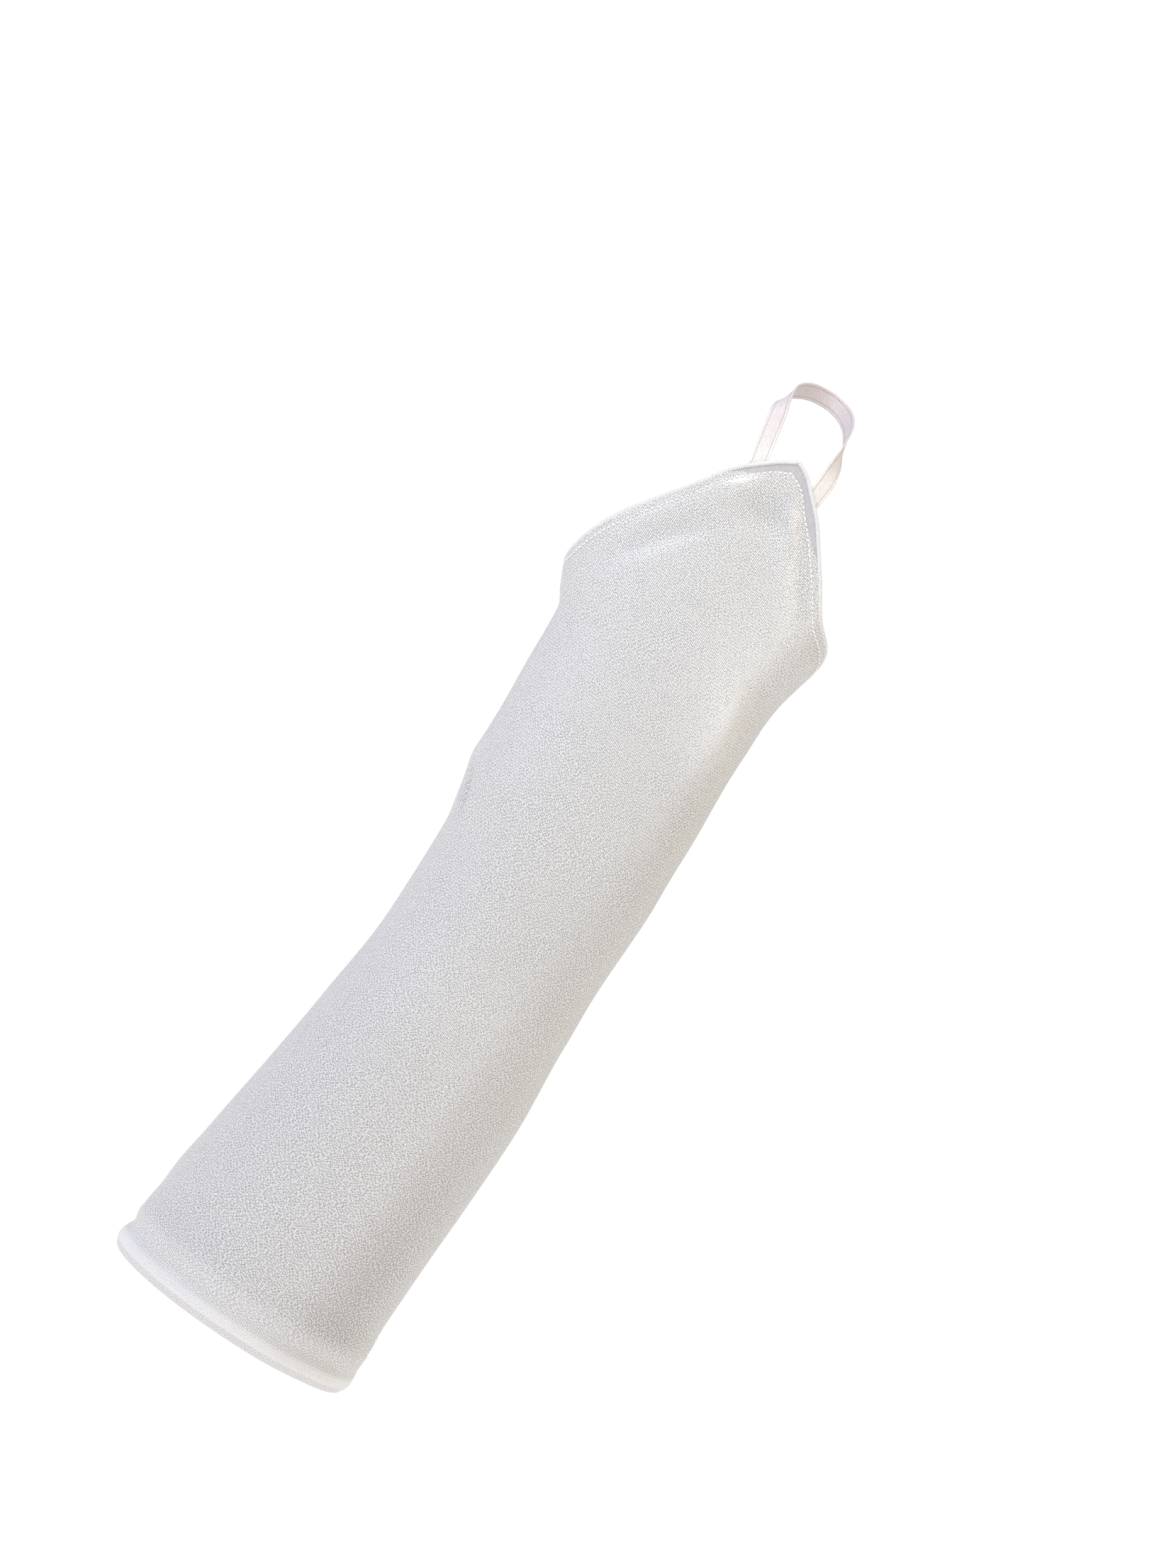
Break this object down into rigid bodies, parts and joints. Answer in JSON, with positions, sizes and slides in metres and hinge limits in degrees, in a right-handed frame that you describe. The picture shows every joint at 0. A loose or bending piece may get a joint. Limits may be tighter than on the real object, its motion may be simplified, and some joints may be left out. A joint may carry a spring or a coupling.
{
  "type": "evening mitten",
  "caption": "Long fingerless evening mitten in white stretch satin, with a point over the back of the hand and a ribbon loop for the middle finger.",
  "frame": {"origin": "middle of the arm opening, on the plane of the elbow hem's rim, where the upper end sits round the arm", "axes": "+Z along the arm to the fingers, -Y out of the back of the hand, -X to the thumb side"},
  "size_m": [0.0758, 0.0661, 0.2923],
  "materials": {
    "satin": "white stretch satin, a fine warp knit with a soft sheen along the arm",
    "edge": "white turned satin band with a narrow ribbed rim",
    "ribbon": "narrow woven satin ribbon, off-white, with a row of tiny holes inside each selvedge"
  },
  "bodies": {
    "root": {"satin_sleeve": "satin", "elbow_hem": "satin", "hand_edge": "edge", "finger_loop": "ribbon"}
  },
  "joints": []
}
